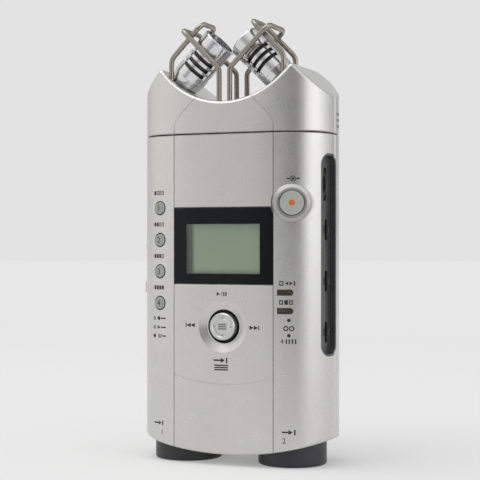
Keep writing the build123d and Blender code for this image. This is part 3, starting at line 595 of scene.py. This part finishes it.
# right column
right = [
    mark(ring(25.35, 98.85, 1.0, 0.72)), mark(disc(25.35, 98.85, 0.46)),
    mark(rect(23.75, 98.85, 0.95, 0.5)), mark(rect(26.95, 98.85, 0.95, 0.5)),
    mark(frame_rect(21.5, 63.25, 1.4, 1.65, 0.34)), mark(tri(23.25, 63.25, 1.15, 1.35, -1)), mark(tri(24.75, 63.25, 1.15, 1.35)), mark(rect(25.85, 63.25, 0.4, 1.6)),
    mark(frame_rect(21.4, 56.8, 1.3, 1.55, 0.34)), mark(rect(23.1, 56.8, 1.25, 1.55)), mark(frame_rect(24.7, 56.8, 1.2, 1.55, 0.34)),
    mark(ring(23.05, 47.95, 0.88, 0.5)), mark(ring(24.95, 47.95, 0.88, 0.5)),
    (numeral_mesh("4", 1.7), 21.75, 43.55),
    mark(rect(23.2, 43.55, 0.46, 1.6)), mark(rect(24.2, 43.55, 0.46, 1.6)), mark(rect(25.2, 43.55, 0.46, 1.6)), mark(rect(26.2, 43.55, 0.46, 1.6)),
    mark(rect(22.75, 12.7, 2.2, 0.52)), mark(tri(24.6, 12.7, 1.4, 1.7)), mark(rect(25.95, 12.7, 0.5, 1.75)),
    (numeral_mesh("2", 1.95), 22.4, 9.8),
]
piece("prints_right", wrap(right, on_front), M["ink"], "root")

# stick cap: four direction marks in its ring, three bars in the middle
CAP_Y = -17.5
arrows = []
for ux, uz in ((1, 0), (-1, 0), (0, 1), (0, -1)):
    cx, cz = 3.12 * ux, 3.12 * uz
    arrows.append(mark([[(cx + 0.36 * ux, cz + 0.36 * uz), (cx - 0.26 * ux - 0.46 * uz, cz - 0.26 * uz + 0.46 * ux), (cx - 0.26 * ux + 0.46 * uz, cz - 0.26 * uz - 0.46 * ux)]]))
piece("stick_arrows", wrap(arrows, flat_front(CAP_Y - 0.185, 48.1)), M["ink_mid"], "menu_stick_body")
bars = [mark(rect(0, dz, 3.1, 0.46)) for dz in (-0.78, 0.0, 0.78)]
piece("stick_bars", wrap(bars, flat_front(CAP_Y - 0.3, 48.1)), M["ink_mid"], "menu_stick_body")

for i, z in enumerate((89.24, 78.03, 66.92, 55.79)):
    me = wrap([(numeral_mesh(str(i + 1), 2.15), -0.35, 0.0)], on_plane(-24.7, z, 0.25))
    piece(f"key_numeral_{i + 1}", me, M["ink"], f"track_key_{i + 1}_body")

piece("record_dot", wrap([(loops_mesh(disc(0, 0, 1.08, 40)), 0.0, 0.0)], on_plane(25.0, 90.65, 0.28), step=3), M["ink_orange"], "rec_button_body")


def gauze(sx, depth=2.86, r=5.15, pitch=0.42, wire=0.075):
    """Woven wire disc behind a microphone's grille, made in the microphone's own frame."""
    origin = Vector((sx * 4.7, -8.1, 148.0))
    z = Vector((-sx * math.sqrt(0.5), 0, math.sqrt(0.5)))
    x = Vector((0, 1, 0))
    y = z.cross(x)
    bm = bmesh.new()
    n = int(r / pitch)
    for way in (0, 1):
        for i in range(-n, n + 1):
            c = i * pitch
            half = math.sqrt(max(r * r - c * c, 0))
            k = int(2 * half / (pitch / 2))
            if k < 3:
                continue
            loops = []
            for j in range(k + 1):
                t = -half + 2 * half * j / k
                lift = 0.055 * math.cos(math.pi * (t / pitch + i + way))
                u, v = (t, c) if way == 0 else (c, t)
                side = Vector((0, 1, 0)) if way == 0 else Vector((1, 0, 0))
                pts = []
                for q in range(5):
                    a = 2 * math.pi * q / 5
                    loc = Vector((u, v, -depth + lift)) + side * (wire * math.cos(a)) + Vector((0, 0, wire * math.sin(a)))
                    pts.append(bm.verts.new((origin + x * loc.x + y * loc.y + z * loc.z) * MM))
                loops.append(pts)
            for p, q in zip(loops[:-1], loops[1:]):
                for m in range(5):
                    bm.faces.new((p[m], p[(m + 1) % 5], q[(m + 1) % 5], q[m]))
            bm.faces.new(loops[0][::-1])
            bm.faces.new(loops[-1])
    bmesh.ops.recalc_face_normals(bm, faces=bm.faces)
    me = bpy.data.meshes.new("gauze")
    bm.to_mesh(me)
    bm.free()
    return me


piece("gauze_left", gauze(-1), M["gauze"], "root", smooth=True)
piece("gauze_right", gauze(1), M["gauze"], "root", smooth=True)

# ------------------------------------------------------------------ floor, light, camera
def stage_floor():
    bm = bmesh.new()
    rings, seg = [0.0, 0.15, 0.3, 0.6, 1.2, 2.4, 5.0], 64
    vs = [[bm.verts.new((r * math.cos(2 * math.pi * i / seg), r * math.sin(2 * math.pi * i / seg), 0.0)) for i in range(seg)] if r else [bm.verts.new((0, 0, 0))] for r in rings]
    for a, b in zip(vs[:-1], vs[1:]):
        for i in range(seg):
            j = (i + 1) % seg
            if len(a) == 1:
                bm.faces.new((a[0], b[i], b[j]))
            else:
                bm.faces.new((a[i], b[i], b[j], a[j]))
    # the table ends on the viewer's side
    edge = Vector((math.sin(math.radians(22.76)), -math.cos(math.radians(22.76)), 0))
    bmesh.ops.bisect_plane(bm, geom=bm.verts[:] + bm.edges[:] + bm.faces[:], plane_co=edge * TABLE_END, plane_no=edge, clear_outer=True)
    me = bpy.data.meshes.new("floor")
    bm.to_mesh(me)
    bm.free()
    o = bpy.data.objects.new("floor", me)
    scene.collection.objects.link(o)
    m = bpy.data.materials.new("pale_floor")
    m.use_nodes = True
    nt = m.node_tree
    nt.nodes.clear()
    out = nt.nodes.new("ShaderNodeOutputMaterial")
    d = nt.nodes.new("ShaderNodeBsdfDiffuse")
    d.inputs["Color"].default_value = (FLOOR_ALBEDO, FLOOR_ALBEDO, FLOOR_ALBEDO, 1)
    e = nt.nodes.new("ShaderNodeEmission")
    e.inputs["Color"].default_value = FAR_FLOOR
    tc = nt.nodes.new("ShaderNodeTexCoord")
    ln = nt.nodes.new("ShaderNodeVectorMath")
    ln.operation = "LENGTH"
    nt.links.new(tc.outputs["Object"], ln.inputs[0])
    mr = nt.nodes.new("ShaderNodeMapRange")
    mr.interpolation_type = "SMOOTHSTEP"
    mr.inputs["From Min"].default_value = 0.20
    mr.inputs["From Max"].default_value = 0.8
    mr.inputs["To Min"].default_value = FLOOR_GLOW
    nt.links.new(ln.outputs["Value"], mr.inputs["Value"])
    mix = nt.nodes.new("ShaderNodeMixShader")
    nt.links.new(mr.outputs[0], mix.inputs[0])
    nt.links.new(d.outputs[0], mix.inputs[1])
    nt.links.new(e.outputs[0], mix.inputs[2])
    nt.links.new(mix.outputs[0], out.inputs[0])
    me.materials.append(m)
    return o


FLOOR_ALBEDO = 0.80
FLOOR_GLOW = 0.31
TABLE_END = 0.70
FAR_FLOOR = (0.795, 0.795, 0.793, 1)
stage_floor()

WORLD_GAIN = 2.0
# radiance round the horizon: azimuth in degrees (0 towards -Y, 90 towards +X), value, warmth
HORIZON = [
    (-180, 0.72, 0.0), (-172, 0.765, 0.0), (-145, 0.765, 0.0), (-128, 0.66, 0.3), (-108, 0.66, 0.6), (-92, 0.78, 0.8), (-70, 0.94, 0.8),
    (-50, 0.96, 0.8), (-36, 0.92, 0.6), (-29, 0.86, 0.4), (-24, 0.70, 0.3), (-19, 0.52, 0.2), (-10, 0.36, 0.0), (4, 0.22, 0.0), (20, 0.13, 0.0),
    (31, 0.17, 0.0), (42, 0.58, 0.0), (54, 1.25, 0.0), (70, 1.66, -0.1), (92, 1.66, -0.2), (110, 1.38, -0.3), (128, 0.98, -0.3), (146, 0.62, -0.3),
    (163, 0.42, -0.2), (180, 0.72, 0.0),
]
UPPER = [
    (-180, 0.34), (-150, 0.42), (-115, 0.62), (-87, 0.80), (-60, 1.02), (-38, 1.00), (0, 0.98), (20, 1.00), (50, 0.90), (100, 0.82),
    (143, 0.54), (168, 0.34), (180, 0.34),
]


def warm(v, k):
    return (v * (1 + 0.012 * k), v, v * (1 - 0.05 * k), 1)


def studio():
    w = bpy.data.worlds.new("studio")
    scene.world = w
    w.use_nodes = True
    nt = w.node_tree
    nt.nodes.clear()
    out = nt.nodes.new("ShaderNodeOutputWorld")
    bg = nt.nodes.new("ShaderNodeBackground")
    bg.inputs["Strength"].default_value = WORLD_GAIN
    tc = nt.nodes.new("ShaderNodeTexCoord")
    sp = nt.nodes.new("ShaderNodeSeparateXYZ")
    nt.links.new(tc.outputs["Generated"], sp.inputs[0])

    def m(op, a, b=None):
        n = nt.nodes.new("ShaderNodeMath")
        n.operation = op
        for i, v in enumerate((a, b)):
            if v is None:
                continue
            if isinstance(v, (int, float)):
                n.inputs[i].default_value = v
            else:
                nt.links.new(v, n.inputs[i])
        return n.outputs[0]

    az = m("ARCTAN2", sp.outputs[0], m("MULTIPLY", sp.outputs[1], -1.0))
    fac = m("ADD", m("MULTIPLY", az, 0.5 / math.pi), 0.5)

    def ramp_of(rows):
        n = nt.nodes.new("ShaderNodeValToRGB")
        cr = n.color_ramp
        cr.interpolation = "EASE"
        while len(cr.elements) > 1:
            cr.elements.remove(cr.elements[-1])
        for i, row in enumerate(rows):
            e = cr.elements[0] if i == 0 else cr.elements.new((row[0] + 180) / 360)
            e.position = (row[0] + 180) / 360
            e.color = warm(row[1] / WORLD_GAIN, row[2] if len(row) > 2 else 0.0)
        nt.links.new(fac, n.inputs[0])
        return n.outputs[0]

    mr = nt.nodes.new("ShaderNodeMapRange")
    mr.interpolation_type = "SMOOTHSTEP"
    mr.inputs["From Min"].default_value = 0.22
    mr.inputs["From Max"].default_value = 0.80
    nt.links.new(sp.outputs[2], mr.inputs["Value"])
    mix = nt.nodes.new("ShaderNodeMix")
    mix.data_type = "RGBA"
    nt.links.new(mr.outputs[0], mix.inputs[0])
    nt.links.new(ramp_of(HORIZON), mix.inputs[6])
    nt.links.new(ramp_of(UPPER), mix.inputs[7])
    nt.links.new(mix.outputs[2], bg.inputs["Color"])
    nt.links.new(bg.outputs[0], out.inputs[0])


studio()


def softbox(name, loc, aim, size, power):
    li = bpy.data.lights.new(name, "AREA")
    li.shape = "RECTANGLE"
    li.size, li.size_y = size
    li.energy = power
    o = bpy.data.objects.new(name, li)
    scene.collection.objects.link(o)
    o.location = loc
    o.rotation_euler = (Vector(aim) - Vector(loc)).to_track_quat("-Z", "Y").to_euler()


softbox("key_left_top", (-0.45, -0.30, 1.30), (0, 0, 0.07), (1.2, 1.2), 7.5)

cam = bpy.data.cameras.new("camera")
cam.lens, cam.sensor_width = 100.485, 36.0
cam.shift_x, cam.shift_y = -0.0043, 0.003
cam.clip_start, cam.clip_end = 0.01, 50.0
co = bpy.data.objects.new("camera", cam)
scene.collection.objects.link(co)
co.location = (0.18517, -0.44133, 0.0775)
co.rotation_euler = (math.pi / 2, 0, 0.39726)
scene.camera = co
scene.view_settings.view_transform = "Standard"
scene.view_settings.look = "None"
